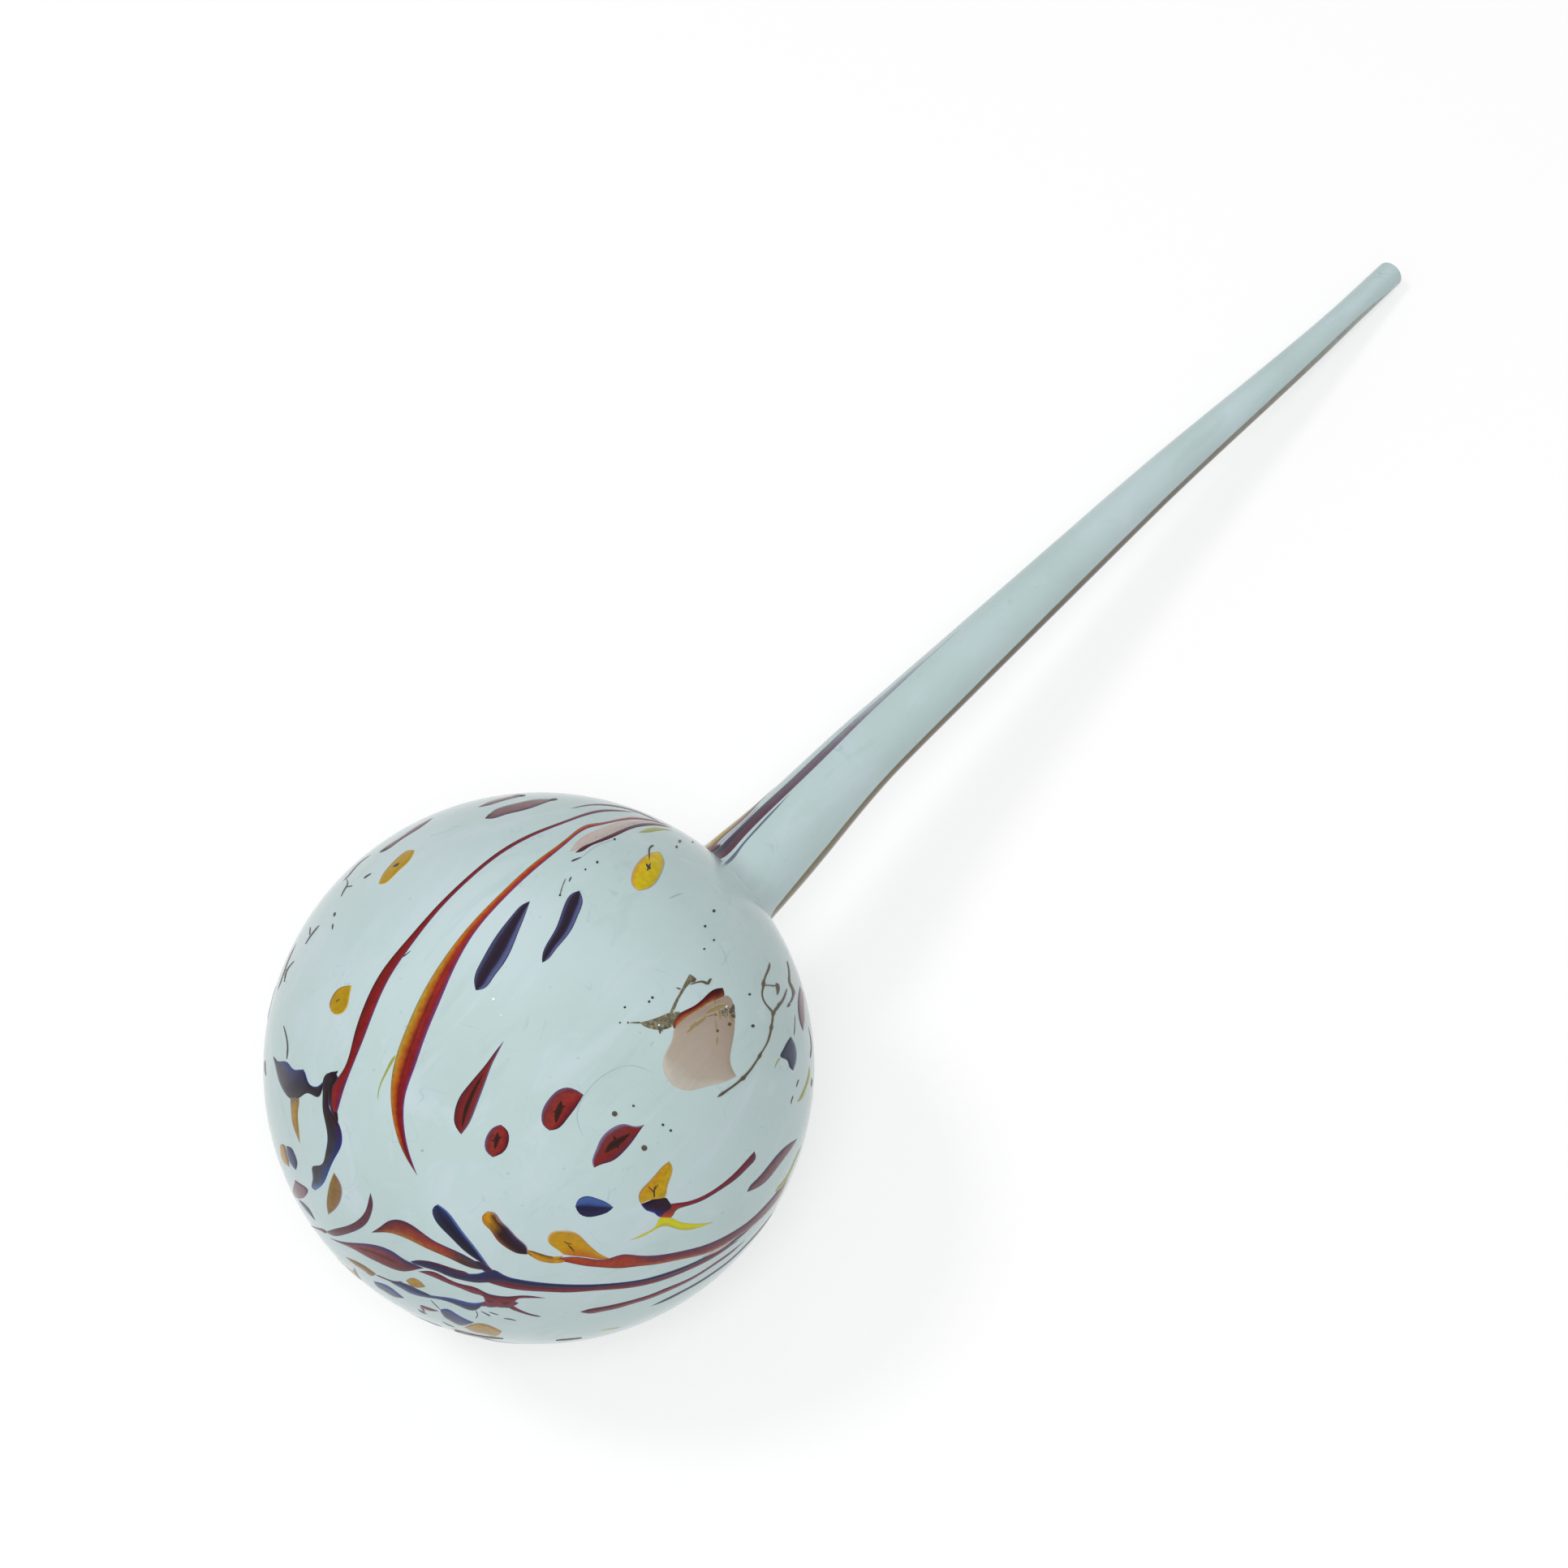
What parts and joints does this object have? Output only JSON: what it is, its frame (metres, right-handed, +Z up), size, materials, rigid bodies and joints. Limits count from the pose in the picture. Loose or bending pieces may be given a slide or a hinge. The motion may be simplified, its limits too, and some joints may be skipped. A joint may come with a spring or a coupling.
{
  "type": "plant watering globe",
  "caption": "Hollow blown-glass plant watering globe: round reservoir with a long tapering stem, white glass with inlaid coloured streaks and leaf-shaped chips, lying on its side.",
  "frame": {"origin": "centre of the object's outline on the flat surface it lies on", "axes": "+Z up, +X along the length from the globe towards the end of the stem, which slopes down to the surface, +Y to the left of the stem"},
  "size_m": [0.2672, 0.08, 0.08],
  "materials": {
    "white_glass": "gloss opal",
    "clear_glass": "clear",
    "gold_glass": "gloss opal",
    "dark_red_glass": "gloss opal",
    "tan_glass": "gloss opal",
    "pale_tan_glass": "gloss opal",
    "red_glass": "gloss opal",
    "maroon_glass": "gloss opal",
    "navy_glass": "gloss opal",
    "blue_glass": "gloss opal",
    "slate_glass": "gloss opal",
    "orange_glass": "gloss opal",
    "yellow_glass": "gloss opal",
    "olive_glass": "gloss opal",
    "lime_glass": "gloss opal",
    "mauve_glass": "gloss opal",
    "teal_glass": "gloss opal",
    "brown_glass": "gloss opal"
  },
  "bodies": {
    "root": {"globe_white_skin": "white_glass", "globe_clear_wall": "clear_glass", "stem_white_skin": "white_glass", "stem_clear_wall": "clear_glass", "gold_crust": "gold_glass", "window_band": "dark_red_glass", "tan_window": "tan_glass", "long_red_streak": "red_glass", "navy_splash": "navy_glass", "orange_spike": "olive_glass", "long_orange_streak": "orange_glass", "tan_wedge": "pale_tan_glass", "maroon_line": "maroon_glass", "olive_streaks": "olive_glass", "navy_leaves": "navy_glass", "yellow_ovals": "yellow_glass", "mauve_slivers": "mauve_glass", "slate_drop": "slate_glass", "red_leaves": "red_glass", "red_ovals": "red_glass", "blue_drop": "blue_glass", "yellow_leaf": "yellow_glass", "red_tail": "red_glass", "dark_leaf_base": "dark_red_glass", "lime_legs": "lime_glass", "yellow_strand": "yellow_glass", "teardrops": "yellow_glass", "yellow_low_leaf": "yellow_glass", "low_red_streak": "red_glass", "orange_swoosh": "orange_glass", "low_red_leaf": "red_glass", "navy_band": "navy_glass", "maroon_band": "maroon_glass", "red_hook": "red_glass", "navy_chips": "navy_glass", "red_branch": "red_glass", "yellow_chips": "yellow_glass", "orange_chips": "orange_glass", "low_maroon_streak": "maroon_glass", "teal_streak": "teal_glass", "maroon_stem_streaks": "maroon_glass", "slate_stem_streaks": "slate_glass", "yellow_stem_streaks": "yellow_glass", "brown_stem_streaks": "brown_glass"}
  },
  "joints": []
}
